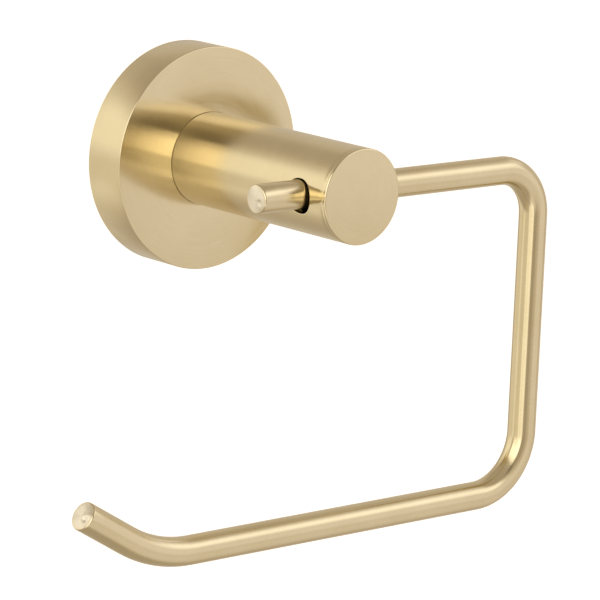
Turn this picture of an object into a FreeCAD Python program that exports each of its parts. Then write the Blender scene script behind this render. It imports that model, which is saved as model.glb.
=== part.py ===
import FreeCAD, Part
import math
import os

import Sketcher

# Toilet paper holder for a wall: a round rosette, a post that stands straight out of it,
# and one bent round rod that hangs through the post and swings about its own upper run.
#
# Frame: origin at the centre of the wall bracket's back face, +Z up, +X to the right for
# someone facing the wall. The wall is the plane y = 0, and the holder stands out along -Y.
# A station is a distance from the wall. Turned pieces are drawn upright, with their own
# Z as the station, and are then tipped so that their Z points along -Y.

DIMENSIONS = [
    # Rosette
    ("rosette_diameter", 55.0),
    ("rosette_depth", 12.0),
    ("rosette_cavity_diameter", 48.6),
    ("rosette_face", 2.5),
    ("rosette_edge", 0.4),
    ("post_seat_diameter", 23.2),
    ("post_seat_depth", 0.5),
    ("bolt_clearance_diameter", 6.4),
    # Bracket on the wall
    ("bracket_diameter", 48.2),
    ("bracket_thickness", 6.5),
    ("bracket_lead_in", 0.6),
    ("grub_groove_depth", 1.8),
    ("bolt_recess_diameter", 13.6),
    ("bolt_recess_floor", 1.8),
    ("wall_screw_spacing", 29.0),
    ("wall_slot_length", 8.0),
    ("wall_slot_width", 5.0),
    ("wall_head_length", 12.4),
    ("wall_head_width", 9.4),
    ("wall_head_floor", 3.5),
    # Rosette grub screw, M4, cone point
    ("grub_diameter", 4.0),
    ("grub_station", 4.0),
    ("grub_tip_radius", 22.93),
    ("grub_length", 4.0),
    ("grub_tip_diameter", 1.2),
    ("grub_socket", 2.0),
    ("grub_socket_depth", 1.8),
    # Tie bolt, M6 hexagon head, with its two washers
    ("bolt_diameter", 6.0),
    ("bolt_length", 40.0),
    ("bolt_head", 10.0),
    ("bolt_head_thickness", 4.0),
    ("washer_thickness", 1.6),
    ("spring_washer_diameter", 11.4),
    ("flat_washer_diameter", 12.0),
    ("spring_washer_turn", 352.0),
    # Threads
    ("thread_play", 0.02),
    ("coarse_pitch", 1.0),
    ("fine_pitch", 0.7),
    ("thread_depth", 0.35),
    # Post
    ("post_diameter", 23.0),
    ("post_bore", 19.0),
    ("post_front", 69.0),
    ("post_hole_height", 8.3),
    ("post_hole_stretch", 0.3),
    ("post_hole_outward", 0.1),
    ("post_hole_drop", 0.4),
    ("post_hole_edge", 0.2),
    # Nose: the post's front cap and the block behind it that the arm turns in
    ("cap_thickness", 1.0),
    ("cap_edge", 0.4),
    ("land_diameter", 18.94),
    ("front_land", 3.5),
    ("waist_diameter", 15.0),
    ("block_start", 38.0),
    ("rear_land", 6.0),
    # Arm retaining screw, M6 with a dog point
    ("retainer_start", 48.5),
    ("retainer_length", 5.8),
    ("dog_diameter", 4.0),
    ("dog_end", 56.55),
    ("retainer_socket", 3.0),
    ("retainer_socket_depth", 2.5),
    # Arm
    ("arm_diameter", 7.0),
    ("arm_play", 0.05),
    ("arm_station", 59.0),
    ("stub_end", 23.9),
    ("arm_reach", 65.5),
    ("arm_drop", 81.6),
    ("upper_bend", 12.0),
    ("lower_bend", 15.0),
    ("hook_bend", 36.0),
    ("hook_corner", 50.2),
    ("hook_length", 25.0),
    ("hook_angle", 31.0),
    ("arm_groove_width", 4.4),
    ("arm_groove_depth", 1.2),
    ("arm_dome", 0.5),
    ("arm_end_edge", 0.5),
]

SHEET = "dims"
UP = FreeCAD.Vector(0, 0, 1)
OUTWARD = FreeCAD.Rotation(FreeCAD.Vector(1, 0, 0), 90)
DOWNWARD = FreeCAD.Rotation(FreeCAD.Vector(1, 0, 0), 180)


# Document, sheet and sketch helpers


def make_sheet(doc):
    sheet = doc.addObject("Spreadsheet::Sheet", SHEET)
    for row, (alias, value) in enumerate(DIMENSIONS, start=1):
        sheet.set(f"A{row}", alias)
        sheet.set(f"B{row}", str(value))
        sheet.setAlias(f"B{row}", alias)
    doc.recompute()
    return sheet


def measure(owner, expression):
    """The value that an expression has now, as a plain number."""
    result = owner.evalExpression(expression)
    return float(getattr(result, "Value", result))


def new_body(doc, label, rotation=None):
    body = doc.addObject("PartDesign::Body", label)
    body.Label = label
    if rotation is not None:
        body.Placement = FreeCAD.Placement(FreeCAD.Vector(), rotation)
    return body


def origin_feature(body, role):
    return next(f for f in body.Origin.OriginFeatures if f.Role == role)


def new_sketch(body, name, role, lift=None):
    """A sketch on one of the body's own planes, lifted off it along its normal."""
    sketch = body.newObject("Sketcher::SketchObject", name)
    sketch.AttachmentSupport = [(origin_feature(body, role), "")]
    sketch.MapMode = "FlatFace"
    if lift is not None:
        sketch.setExpression("AttachmentOffset.Base.z", lift)
    return sketch


def constrain(sketch, rules):
    """Adds every rule at once; a rule is a constraint and its expression, or None."""
    indices = sketch.addConstraint([constraint for constraint, _ in rules])
    for index, (_, expression) in zip(indices, rules):
        if expression is not None:
            sketch.setExpression(f"Constraints[{index}]", expression)


def plain(*arguments):
    return Sketcher.Constraint(*arguments), None


def sized(sketch, expression, *arguments):
    value = measure(sketch, expression)
    return Sketcher.Constraint(*arguments, value), expression


def place_point(sketch, geometry, position, across, up):
    """Rules for a point's distances from the origin; "0" puts it on an axis."""
    rules = []
    for kind, axis, expression in (("DistanceX", -2, across), ("DistanceY", -1, up)):
        point = (geometry, position)
        if expression == "0":
            rules.append(plain("PointOnObject", *point, axis))
        elif expression.startswith("-"):
            rules.append(sized(sketch, f"-({expression})", kind, *point, -1, 1))
        else:
            rules.append(sized(sketch, expression, kind, -1, 1, *point))
    return rules


def point_at(sketch, across, up):
    return FreeCAD.Vector(measure(sketch, across), measure(sketch, up), 0)


def polygon_sketch(body, name, role, corners, lift=None):
    """A closed outline of straight lines with every corner dimensioned."""
    sketch = new_sketch(body, name, role, lift)
    points = [point_at(sketch, across, up) for across, up in corners]
    rules = []
    for i, (across, up) in enumerate(corners):
        following = (i + 1) % len(corners)
        sketch.addGeometry(Part.LineSegment(points[i], points[following]), False)
        rules.append(plain("Coincident", i, 2, following, 1))
        rules += place_point(sketch, i, 1, across, up)
    constrain(sketch, rules)
    return sketch


def circle_sketch(body, name, role, across, up, diameter, lift=None):
    sketch = new_sketch(body, name, role, lift)
    centre = point_at(sketch, across, up)
    radius = measure(sketch, diameter) / 2
    sketch.addGeometry(Part.Circle(centre, UP, radius), False)
    rules = [sized(sketch, diameter, "Diameter", 0)]
    constrain(sketch, rules + place_point(sketch, 0, 3, across, up))
    return sketch


def slot_sketch(body, name, role, first, second, width, lift=None):
    """A round-ended slot between two centres, each given as (across, up)."""
    sketch = new_sketch(body, name, role, lift)
    start = point_at(sketch, *first)
    end = point_at(sketch, *second)
    half_width = f"({width}) / 2"
    radius = measure(sketch, half_width)
    along = (end - start).normalize()
    left = UP.cross(along) * radius
    ahead = along * radius
    near, far, right_side, left_side = range(4)
    sketch.addGeometry(Part.Arc(start + left, start - ahead, start - left), False)
    sketch.addGeometry(Part.Arc(end - left, end + ahead, end + left), False)
    sketch.addGeometry(Part.LineSegment(start - left, end - left), False)
    sketch.addGeometry(Part.LineSegment(end + left, start + left), False)
    rules = [
        plain("Tangent", near, 2, right_side, 1),
        plain("Tangent", far, 1, right_side, 2),
        plain("Tangent", far, 2, left_side, 1),
        plain("Tangent", near, 1, left_side, 2),
        plain("Equal", near, far),
        sized(sketch, half_width, "Radius", near),
    ]
    rules += place_point(sketch, near, 3, *first)
    rules += place_point(sketch, far, 3, *second)
    constrain(sketch, rules)
    return sketch


def hexagon_sketch(body, name, role, across_flats, lift=None):
    """A regular hexagon round the sketch's origin, with one corner on its own X axis."""
    sketch = new_sketch(body, name, role, lift)
    diameter = f"({across_flats}) / cos(30 deg)"
    radius = measure(sketch, diameter) / 2
    turn = FreeCAD.Rotation(UP, 60)
    corners = [FreeCAD.Vector(radius, 0, 0)]
    for _ in range(5):
        corners.append(turn.multVec(corners[-1]))
    for i in range(6):
        sketch.addGeometry(Part.LineSegment(corners[i], corners[(i + 1) % 6]), False)
    guide = sketch.addGeometry(Part.Circle(FreeCAD.Vector(), UP, radius), True)
    rules = [
        sized(sketch, diameter, "Diameter", guide),
        plain("Coincident", guide, 3, -1, 1),
        plain("PointOnObject", 0, 1, -1),
    ]
    for i in range(6):
        rules.append(plain("Coincident", i, 2, (i + 1) % 6, 1))
        rules.append(plain("PointOnObject", i, 1, guide))
    for i in range(5):
        rules.append(plain("Equal", i, i + 1))
    constrain(sketch, rules)
    return sketch


# Feature helpers


def revolve(body, name, sketch, kind="Revolution", axis="V_Axis"):
    feature = body.newObject(f"PartDesign::{kind}", name)
    feature.Profile = sketch
    feature.ReferenceAxis = (sketch, [axis])
    feature.Angle = 360
    sketch.Visibility = False
    return feature


def pad(body, name, sketch, length):
    feature = body.newObject("PartDesign::Pad", name)
    feature.Profile = sketch
    feature.setExpression("Length", length)
    return feature


def pocket(body, name, sketch, length=None, reverse=False, both=False):
    """Cuts against the sketch's normal, or along it where reverse is set."""
    feature = body.newObject("PartDesign::Pocket", name)
    feature.Profile = sketch
    feature.Reversed = reverse
    if both:
        feature.SideType = "Symmetric"
    if length is None:
        feature.Type = "ThroughAll"
    else:
        feature.setExpression("Length", length)
    return feature


def fillet(body, name, base, edges, radius):
    feature = body.newObject("PartDesign::Fillet", name)
    feature.Base = (base, edges)
    feature.setExpression("Radius", radius)
    return feature


def circular_edges(shape, centre, radius):
    """Names of the round edges with that centre and radius, in the body's own frame."""
    names = []
    for number, edge in enumerate(shape.Edges, start=1):
        if edge.Degenerated or not isinstance(edge.Curve, Part.Circle):
            continue
        same_size = abs(edge.Curve.Radius - radius) < 1e-4
        if same_size and edge.Curve.Center.isEqual(centre, 1e-4):
            names.append(f"Edge{number}")
    return names


def thread_rings(body, radius, start, pitch, rings):
    """Rings cut round a screw at its pitch, from a station along its own Z."""
    sketch = polygon_sketch(
        body,
        f"{body.Name}_thread_profile",
        "XZ_Plane",
        [
            (f"{radius} - dims.thread_depth", start),
            (f"{radius} + dims.thread_depth", f"{start} - dims.thread_depth"),
            (f"{radius} + dims.thread_depth", f"{start} + dims.thread_depth"),
        ],
    )
    groove = revolve(body, f"{body.Name}_thread_groove", sketch, "Groove")
    pattern = body.newObject("PartDesign::LinearPattern", f"{body.Name}_thread")
    pattern.Originals = [groove]
    pattern.Direction = (origin_feature(body, "Z_Axis"), [""])
    pattern.Occurrences = rings
    pattern.setExpression("Length", f"({pitch}) * {rings - 1}")
    body.Tip = pattern
    return pattern


# The pieces


def make_wall_bracket(doc):
    """Disc screwed to the wall, with a V groove round its edge for the rosette's screw."""
    body = new_body(doc, "wall_bracket", OUTWARD)
    edge = "dims.bracket_diameter / 2"
    groove_low = "dims.grub_station - dims.grub_groove_depth"
    groove_high = "dims.grub_station + dims.grub_groove_depth"
    recess = "dims.bolt_recess_diameter / 2"
    outline = polygon_sketch(
        body,
        "bracket_outline",
        "XZ_Plane",
        [
            ("0", "0"),
            (edge, "0"),
            (edge, groove_low),
            (f"{edge} - dims.grub_groove_depth", "dims.grub_station"),
            (edge, groove_high),
            (edge, "dims.bracket_thickness - dims.bracket_lead_in"),
            (f"{edge} - dims.bracket_lead_in", "dims.bracket_thickness"),
            (recess, "dims.bracket_thickness"),
            (recess, "dims.bolt_recess_floor"),
            ("0", "dims.bolt_recess_floor"),
        ],
    )
    revolve(body, "bracket_disc", outline)
    slot_half = "(dims.wall_slot_length - dims.wall_slot_width) / 2"
    centre = "dims.wall_screw_spacing / 2"
    slot = slot_sketch(
        body,
        "wall_slot_outline",
        "XY_Plane",
        (f"{centre} - {slot_half}", "0"),
        (f"{centre} + {slot_half}", "0"),
        "dims.wall_slot_width",
    )
    wall_slot = pocket(body, "wall_slot", slot, reverse=True)
    head_half = "(dims.wall_head_length - dims.wall_head_width) / 2"
    head = slot_sketch(
        body,
        "wall_head_outline",
        "XY_Plane",
        (f"{centre} - {head_half}", "0"),
        (f"{centre} + {head_half}", "0"),
        "dims.wall_head_width",
        lift="dims.wall_head_floor",
    )
    head_seat = pocket(body, "wall_head_seat", head, reverse=True)
    doc.recompute()
    mirrored = body.newObject("PartDesign::Mirrored", "other_wall_slot")
    mirrored.Originals = [wall_slot, head_seat]
    mirrored.MirrorPlane = (origin_feature(body, "YZ_Plane"), [""])
    body.Tip = mirrored
    return body


def make_rosette(doc):
    """Turned cup that covers the bracket and carries the post in a shallow seat."""
    body = new_body(doc, "rosette", OUTWARD)
    rim = "dims.rosette_diameter / 2"
    cavity = "dims.rosette_cavity_diameter / 2"
    seat = "dims.post_seat_diameter / 2"
    hole = "dims.bolt_clearance_diameter / 2"
    seat_floor = "dims.rosette_depth - dims.post_seat_depth"
    ceiling = "dims.rosette_depth - dims.rosette_face"
    outline = polygon_sketch(
        body,
        "rosette_outline",
        "XZ_Plane",
        [
            (cavity, "0"),
            (rim, "0"),
            (rim, "dims.rosette_depth"),
            (seat, "dims.rosette_depth"),
            (seat, seat_floor),
            (hole, seat_floor),
            (hole, ceiling),
            (cavity, ceiling),
        ],
    )
    cup = revolve(body, "rosette_cup", outline)
    doc.recompute()
    front_rim = circular_edges(
        cup.Shape,
        FreeCAD.Vector(0, 0, measure(cup, "dims.rosette_depth")),
        measure(cup, rim),
    )
    fillet(body, "rosette_front_edge", cup, front_rim, "dims.rosette_edge")
    hole_sketch = circle_sketch(
        body,
        "grub_hole_outline",
        "XZ_Plane",
        "0",
        "dims.grub_station",
        "dims.grub_diameter + 2 * dims.thread_play",
    )
    pocket(body, "grub_hole", hole_sketch, reverse=True)
    return body


def make_rosette_grub_screw(doc):
    """M4 screw under the rosette; its cone bears in the bracket's groove."""
    body = new_body(doc, "rosette_grub_screw", DOWNWARD)
    body.setExpression("Placement.Base.y", "-dims.grub_station")
    body.setExpression("Placement.Base.z", "-dims.grub_tip_radius")
    radius = "dims.grub_diameter / 2"
    tip = "dims.grub_tip_diameter / 2"
    outline = polygon_sketch(
        body,
        "grub_outline",
        "XZ_Plane",
        [
            ("0", "0"),
            (tip, "0"),
            (radius, f"{radius} - {tip}"),
            (radius, "dims.grub_length"),
            ("0", "dims.grub_length"),
        ],
    )
    revolve(body, "grub_shank", outline)
    rings = 3
    first = f"dims.grub_length - {rings} * dims.fine_pitch"
    thread_rings(body, radius, first, "dims.fine_pitch", rings)
    socket = hexagon_sketch(
        body, "grub_socket_outline", "XY_Plane", "dims.grub_socket", "dims.grub_length"
    )
    pocket(body, "grub_hex_socket", socket, "dims.grub_socket_depth")
    return body


def make_tie_bolt(doc):
    """M6 hexagon bolt whose head lies in the bracket's recess and pulls the nose back."""
    body = new_body(doc, "tie_bolt", OUTWARD)
    head_base = bolt_head_station()
    body.setExpression("Placement.Base.y", f"-({head_base})")
    head = hexagon_sketch(body, "head_outline", "XY_Plane", "dims.bolt_head")
    pad(body, "bolt_head", head, "dims.bolt_head_thickness")
    radius = "dims.bolt_diameter / 2"
    tip = "dims.bolt_head_thickness + dims.bolt_length"
    shank_outline = polygon_sketch(
        body,
        "shank_outline",
        "XZ_Plane",
        [
            ("0", "0"),
            (radius, "0"),
            (radius, f"{tip} - dims.thread_depth"),
            (f"{radius} - dims.thread_depth", tip),
            ("0", tip),
        ],
    )
    revolve(body, "bolt_shank", shank_outline)
    rings = 18
    first = f"{tip} - {rings} * dims.coarse_pitch"
    thread_rings(body, radius, first, "dims.coarse_pitch", rings)
    return body


def bolt_head_station():
    """Station of the head's end face: the head lies behind both washers."""
    return (
        "dims.rosette_depth - dims.rosette_face - 2 * dims.washer_thickness"
        " - dims.bolt_head_thickness"
    )


def make_washer(doc, label, outer, order):
    """A washer on the tie bolt; order 1 lies against the rosette, 2 behind that."""
    body = new_body(doc, label, OUTWARD)
    station = (
        f"dims.rosette_depth - dims.rosette_face - {order} * dims.washer_thickness"
    )
    body.setExpression("Placement.Base.y", f"-({station})")
    hole = "dims.bolt_clearance_diameter / 2"
    outline = polygon_sketch(
        body,
        f"{label}_section",
        "XZ_Plane",
        [
            (hole, "0"),
            (f"{outer} / 2", "0"),
            (f"{outer} / 2", "dims.washer_thickness"),
            (hole, "dims.washer_thickness"),
        ],
    )
    return body, revolve(body, f"{label}_ring", outline)


def make_flat_washer(doc):
    return make_washer(doc, "flat_washer", "dims.flat_washer_diameter", 1)[0]


def make_spring_washer(doc):
    """Split washer: its ring stops a few degrees short of a full turn."""
    body, ring = make_washer(doc, "spring_washer", "dims.spring_washer_diameter", 2)
    ring.setExpression("Angle", "dims.spring_washer_turn")
    return body


def make_post_tube(doc):
    """Tube of the post, with one oval hole straight through both its sides."""
    body = new_body(doc, "post_tube", OUTWARD)
    outer = "dims.post_diameter / 2"
    inner = "dims.post_bore / 2"
    back = "dims.rosette_depth - dims.post_seat_depth"
    front = "dims.post_front - dims.cap_thickness"
    outline = polygon_sketch(
        body,
        "tube_section",
        "XZ_Plane",
        [(inner, back), (outer, back), (outer, front), (inner, front)],
    )
    revolve(body, "tube", outline)
    centre = "dims.arm_station + dims.post_hole_outward"
    half = "dims.post_hole_stretch / 2"
    hole = slot_sketch(
        body,
        "arm_hole_outline",
        "YZ_Plane",
        ("-dims.post_hole_drop", f"{centre} - {half}"),
        ("-dims.post_hole_drop", f"{centre} + {half}"),
        "dims.post_hole_height",
    )
    cut = pocket(body, "arm_hole", hole, "2 * dims.post_diameter", both=True)
    doc.recompute()
    rims = hole_rims(cut.Shape, measure(cut, outer))
    fillet(body, "arm_hole_edge", cut, rims, "dims.post_hole_edge")
    return body


def hole_rims(shape, radius):
    """Edges of the cross hole that lie on the tube's outside."""
    names = []
    for number, edge in enumerate(shape.Edges, start=1):
        middle = edge.valueAt((edge.FirstParameter + edge.LastParameter) / 2)
        on_skin = abs((middle.x**2 + middle.y**2) ** 0.5 - radius) < 1e-3
        flat = edge.BoundBox.ZLength < 1e-6
        straight = edge.BoundBox.XLength < 1e-6 and edge.BoundBox.YLength < 1e-6
        away_from_seam = abs(middle.y) < radius / 2
        if on_skin and not flat and away_from_seam and not (straight and middle.y == 0):
            names.append(f"Edge{number}")
    return names


def make_post_nose(doc):
    """Front cap, and behind it the waisted block that carries the arm's bore."""
    body = new_body(doc, "post_nose", OUTWARD)
    tapped = "dims.bolt_diameter / 2 + dims.thread_play"
    land = "dims.land_diameter / 2"
    waist = "dims.waist_diameter / 2"
    outer = "dims.post_diameter / 2"
    shoulder = "dims.post_front - dims.cap_thickness"
    outline = polygon_sketch(
        body,
        "nose_section",
        "XZ_Plane",
        [
            (tapped, "dims.block_start"),
            (land, "dims.block_start"),
            (land, "dims.block_start + dims.rear_land"),
            (waist, "dims.block_start + dims.rear_land"),
            (waist, f"{shoulder} - dims.front_land"),
            (land, f"{shoulder} - dims.front_land"),
            (land, shoulder),
            (outer, shoulder),
            (outer, "dims.post_front"),
            ("0", "dims.post_front"),
            ("0", "dims.arm_station"),
            (tapped, "dims.arm_station"),
        ],
    )
    turned = revolve(body, "turned_nose", outline)
    doc.recompute()
    front_rim = circular_edges(
        turned.Shape,
        FreeCAD.Vector(0, 0, measure(turned, "dims.post_front")),
        measure(turned, outer),
    )
    fillet(body, "cap_front_edge", turned, front_rim, "dims.cap_edge")
    bore = circle_sketch(
        body,
        "arm_bore_outline",
        "YZ_Plane",
        "0",
        "dims.arm_station",
        "dims.arm_diameter + 2 * dims.arm_play",
    )
    pocket(body, "arm_bore", bore, "2 * dims.post_diameter", both=True)
    return body


def make_arm_retaining_screw(doc):
    """M6 screw up the nose's tapped hole; its dog point runs in the arm's groove."""
    body = new_body(doc, "arm_retaining_screw", OUTWARD)
    body.setExpression("Placement.Base.y", "-dims.retainer_start")
    radius = "dims.bolt_diameter / 2"
    dog = "dims.dog_diameter / 2"
    dog_end = "dims.dog_end - dims.retainer_start"
    outline = polygon_sketch(
        body,
        "retainer_section",
        "XZ_Plane",
        [
            ("0", "0"),
            (radius, "0"),
            (radius, "dims.retainer_length"),
            (dog, "dims.retainer_length"),
            (dog, dog_end),
            ("0", dog_end),
        ],
    )
    revolve(body, "retainer_shank", outline)
    thread_rings(body, radius, "dims.coarse_pitch", "dims.coarse_pitch", 5)
    socket = hexagon_sketch(
        body, "retainer_socket_outline", "XY_Plane", "dims.retainer_socket"
    )
    pocket(
        body,
        "retainer_hex_socket",
        socket,
        "dims.retainer_socket_depth",
        reverse=True,
    )
    return body


# The arm

ARM_BENDS = ["dims.upper_bend", "dims.lower_bend", "dims.hook_bend"]


def bend_points(corner, before, after, radius):
    """Start, middle and end of the arc that rounds a corner between two runs."""
    back = (before - corner).normalize()
    ahead = (after - corner).normalize()
    half_angle = back.getAngle(ahead) / 2
    reach = radius / math.tan(half_angle)
    inward = (back + ahead).normalize()
    to_centre = radius / math.sin(half_angle)
    middle = corner + inward * (to_centre - radius)
    return corner + back * reach, middle, corner + ahead * reach


def arm_path_sketch(body):
    """Centre line: stub and upper run, drop, lower run and raised end, with their bends."""
    sketch = new_sketch(body, "arm_path", "XZ_Plane")
    drop = measure(sketch, "dims.arm_drop")
    reach = measure(sketch, "dims.arm_reach")
    stub = point_at(sketch, "-dims.stub_end", "0")
    upper = FreeCAD.Vector(reach, 0, 0)
    lower = FreeCAD.Vector(reach, -drop, 0)
    turn = FreeCAD.Vector(-measure(sketch, "dims.hook_corner"), -drop, 0)
    rise = math.radians(measure(sketch, "dims.hook_angle"))
    slope = FreeCAD.Vector(-math.cos(rise), math.sin(rise), 0)
    tip = turn + slope * measure(sketch, "dims.hook_length")
    corners = [stub, upper, lower, turn, tip]
    start = stub
    for i, bend in enumerate(ARM_BENDS, start=1):
        radius = measure(sketch, bend)
        begin, middle, end = bend_points(
            corners[i], corners[i - 1], corners[i + 1], radius
        )
        sketch.addGeometry(Part.LineSegment(start, begin), False)
        sketch.addGeometry(Part.Arc(end, middle, begin), False)
        start = end
    sketch.addGeometry(Part.LineSegment(start, tip), False)
    sketch.addGeometry(Part.Point(turn), True)
    constrain(sketch, arm_path_rules(sketch))
    return sketch


def arm_path_rules(sketch):
    """Rules for line, bend, line, bend, line, bend, line and the hook's corner point."""
    upper_run, drop_run, lower_run, hook_run, corner = 0, 2, 4, 6, 7
    rules = []
    for i, bend in enumerate(ARM_BENDS):
        before, arc, after = 2 * i, 2 * i + 1, 2 * i + 2
        rules.append(plain("Tangent", before, 2, arc, 2))
        rules.append(plain("Tangent", arc, 1, after, 1))
        rules.append(sized(sketch, bend, "Radius", arc))
    rules.append(plain("Horizontal", upper_run))
    rules.append(plain("Vertical", drop_run))
    rules.append(plain("Horizontal", lower_run))
    rules += place_point(sketch, upper_run, 1, "-dims.stub_end", "0")
    rules.append(sized(sketch, "dims.arm_reach", "DistanceX", -1, 1, drop_run, 1))
    rules.append(sized(sketch, "dims.arm_drop", "DistanceY", lower_run, 1, -1, 1))
    rules.append(plain("PointOnObject", corner, 1, hook_run))
    rules += place_point(sketch, corner, 1, "-dims.hook_corner", "-dims.arm_drop")
    rules.append(sized(sketch, "dims.hook_length", "Distance", corner, 1, hook_run, 2))
    slope = "180 deg - dims.hook_angle * 1 deg"
    radians = math.radians(measure(sketch, slope))
    rules.append((Sketcher.Constraint("Angle", hook_run, radians), slope))
    return rules


def add_arm_dome(body, name, across, up, tilt):
    """A shallow dome on the rod's end, turned about the rod's own line."""
    sketch = new_sketch(body, name, "XZ_Plane")
    sketch.AttachmentOffset = FreeCAD.Placement(
        FreeCAD.Vector(), FreeCAD.Rotation(UP, tilt)
    )
    sketch.setExpression("AttachmentOffset.Base.x", across)
    sketch.setExpression("AttachmentOffset.Base.y", up)
    rod_radius = "dims.arm_diameter / 2"
    radius = measure(sketch, rod_radius)
    height = measure(sketch, "dims.arm_dome")
    ball = (radius**2 + height**2) / (2 * height)
    half = math.asin(radius / ball) / 2
    between = FreeCAD.Vector(math.cos(half), math.sin(half), 0) * ball
    between.x += height - ball
    middle = FreeCAD.Vector()
    crown = FreeCAD.Vector(height, 0, 0)
    rim = FreeCAD.Vector(0, radius, 0)
    axis_line, face_line, dome_arc = range(3)
    sketch.addGeometry(Part.LineSegment(crown, middle), False)
    sketch.addGeometry(Part.LineSegment(middle, rim), False)
    sketch.addGeometry(Part.Arc(crown, between, rim), False)
    constrain(
        sketch,
        [
            plain("Coincident", axis_line, 2, -1, 1),
            plain("Coincident", face_line, 1, -1, 1),
            plain("Coincident", dome_arc, 1, axis_line, 1),
            plain("Coincident", dome_arc, 2, face_line, 2),
            plain("Horizontal", axis_line),
            plain("Vertical", face_line),
            plain("PointOnObject", dome_arc, 3, -1),
            sized(sketch, rod_radius, "DistanceY", -1, 1, face_line, 2),
            sized(sketch, "dims.arm_dome", "DistanceX", -1, 1, axis_line, 1),
        ],
    )
    return revolve(body, f"{name}_turned", sketch, axis="H_Axis")


def make_arm(doc):
    """One round rod, bent three times, with a groove where the retaining screw holds it."""
    body = new_body(doc, "arm")
    body.setExpression("Placement.Base.y", "-dims.arm_station")
    path = arm_path_sketch(body)
    section = circle_sketch(
        body,
        "arm_section",
        "YZ_Plane",
        "0",
        "0",
        "dims.arm_diameter",
        lift="-dims.stub_end",
    )
    doc.recompute()
    rod = body.newObject("PartDesign::AdditivePipe", "bent_rod")
    rod.Profile = section
    rod.Spine = (path, [f"Edge{i}" for i in range(1, 8)])
    doc.recompute()
    add_arm_dome(body, "stub_dome", "-dims.stub_end", "0", 180)
    run = "dims.hook_length * cos(dims.hook_angle * 1 deg)"
    climb = "dims.hook_length * sin(dims.hook_angle * 1 deg)"
    tilt = 180 - measure(path, "dims.hook_angle")
    domed = add_arm_dome(
        body,
        "hook_dome",
        f"-dims.hook_corner - {run}",
        f"-dims.arm_drop + {climb}",
        tilt,
    )
    doc.recompute()
    ends = [
        edge
        for spine_end in (path.Shape.Edges[0].Vertexes, path.Shape.Edges[-1].Vertexes)
        for vertex in spine_end
        for edge in circular_edges(
            domed.Shape, vertex.Point, measure(path, "dims.arm_diameter / 2")
        )
    ]
    fillet(body, "arm_end_edges", domed, ends, "dims.arm_end_edge")
    groove_half = "dims.arm_groove_width / 2"
    outer = "dims.arm_diameter"
    floor = "dims.arm_diameter / 2 - dims.arm_groove_depth"
    groove = polygon_sketch(
        body,
        "arm_groove_section",
        "XZ_Plane",
        [
            (f"-{groove_half}", floor),
            (groove_half, floor),
            (groove_half, outer),
            (f"-{groove_half}", outer),
        ],
    )
    doc.recompute()
    revolve(body, "arm_groove", groove, "Groove", "H_Axis")
    return body


MAKERS = [
    make_wall_bracket,
    make_rosette,
    make_rosette_grub_screw,
    make_tie_bolt,
    make_spring_washer,
    make_flat_washer,
    make_post_tube,
    make_post_nose,
    make_arm_retaining_screw,
    make_arm,
]


def check(doc, bodies):
    """Stops before anything is written if a feature failed or a solid is unsound."""
    for item in doc.Objects:
        if "Invalid" in item.State or "Error" in item.State:
            raise RuntimeError(f"{item.Label} failed: {item.State}")
    for body in bodies:
        shape = body.Shape
        if shape.isNull() or not shape.isValid() or len(shape.Solids) != 1:
            raise RuntimeError(f"{body.Label} isn't one sound solid")


def main():
    doc = FreeCAD.newDocument("toilet_paper_holder")
    make_sheet(doc)
    bodies = [maker(doc) for maker in MAKERS]
    doc.recompute()
    check(doc, bodies)
    os.makedirs("parts", exist_ok=True)
    for body in bodies:
        body.Shape.exportStep(f"parts/{body.Label}.step")
        print(f"{body.Label}: {body.Shape.Volume:.1f} mm3")


main()
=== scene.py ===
import math

import bmesh
import bpy
from mathutils import Matrix, Vector, noise


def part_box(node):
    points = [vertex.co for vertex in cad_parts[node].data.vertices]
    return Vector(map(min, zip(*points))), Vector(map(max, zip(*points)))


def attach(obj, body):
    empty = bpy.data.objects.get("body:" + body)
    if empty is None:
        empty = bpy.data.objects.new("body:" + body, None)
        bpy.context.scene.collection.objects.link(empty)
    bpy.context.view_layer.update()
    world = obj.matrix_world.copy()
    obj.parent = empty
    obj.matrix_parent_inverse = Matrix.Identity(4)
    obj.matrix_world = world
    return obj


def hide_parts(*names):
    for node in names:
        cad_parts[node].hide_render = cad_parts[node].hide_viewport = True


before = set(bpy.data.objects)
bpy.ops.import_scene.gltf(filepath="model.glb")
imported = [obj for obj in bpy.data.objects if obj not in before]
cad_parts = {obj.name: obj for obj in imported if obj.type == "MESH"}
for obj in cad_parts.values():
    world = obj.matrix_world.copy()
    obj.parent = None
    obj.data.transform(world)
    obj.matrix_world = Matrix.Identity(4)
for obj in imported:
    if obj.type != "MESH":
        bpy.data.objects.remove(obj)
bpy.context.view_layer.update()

MM = 0.001
Y_AXIS = Vector((0, 1, 0))
Z_AXIS = Vector((0, 0, 1))

# Sizes that the frame gives, in metres. A station is a distance from the wall plane.

rosette_low, rosette_high = (Vector(corner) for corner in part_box("rosette"))
tube_low, tube_high = (Vector(corner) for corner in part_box("post_tube"))
nose_low, nose_high = (Vector(corner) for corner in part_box("post_nose"))
arm_low, arm_high = (Vector(corner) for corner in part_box("arm"))

ROSETTE_RADIUS = (rosette_high.x - rosette_low.x) / 2
ROSETTE_DEPTH = -rosette_low.y
POST_RADIUS = (tube_high.x - tube_low.x) / 2
TUBE_BACK = -tube_high.y
TUBE_FRONT = -tube_low.y
NOSE_BACK = -nose_high.y
NOSE_FRONT = -nose_low.y
ROD_RADIUS = (arm_high.y - arm_low.y) / 2
ARM_STATION = -(arm_low.y + arm_high.y) / 2
LEG_X = arm_high.x - ROD_RADIUS
LOWER_RUN_Z = arm_low.z + ROD_RADIUS

# Sizes that the boxes don't show, as the CAD has them

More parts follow.
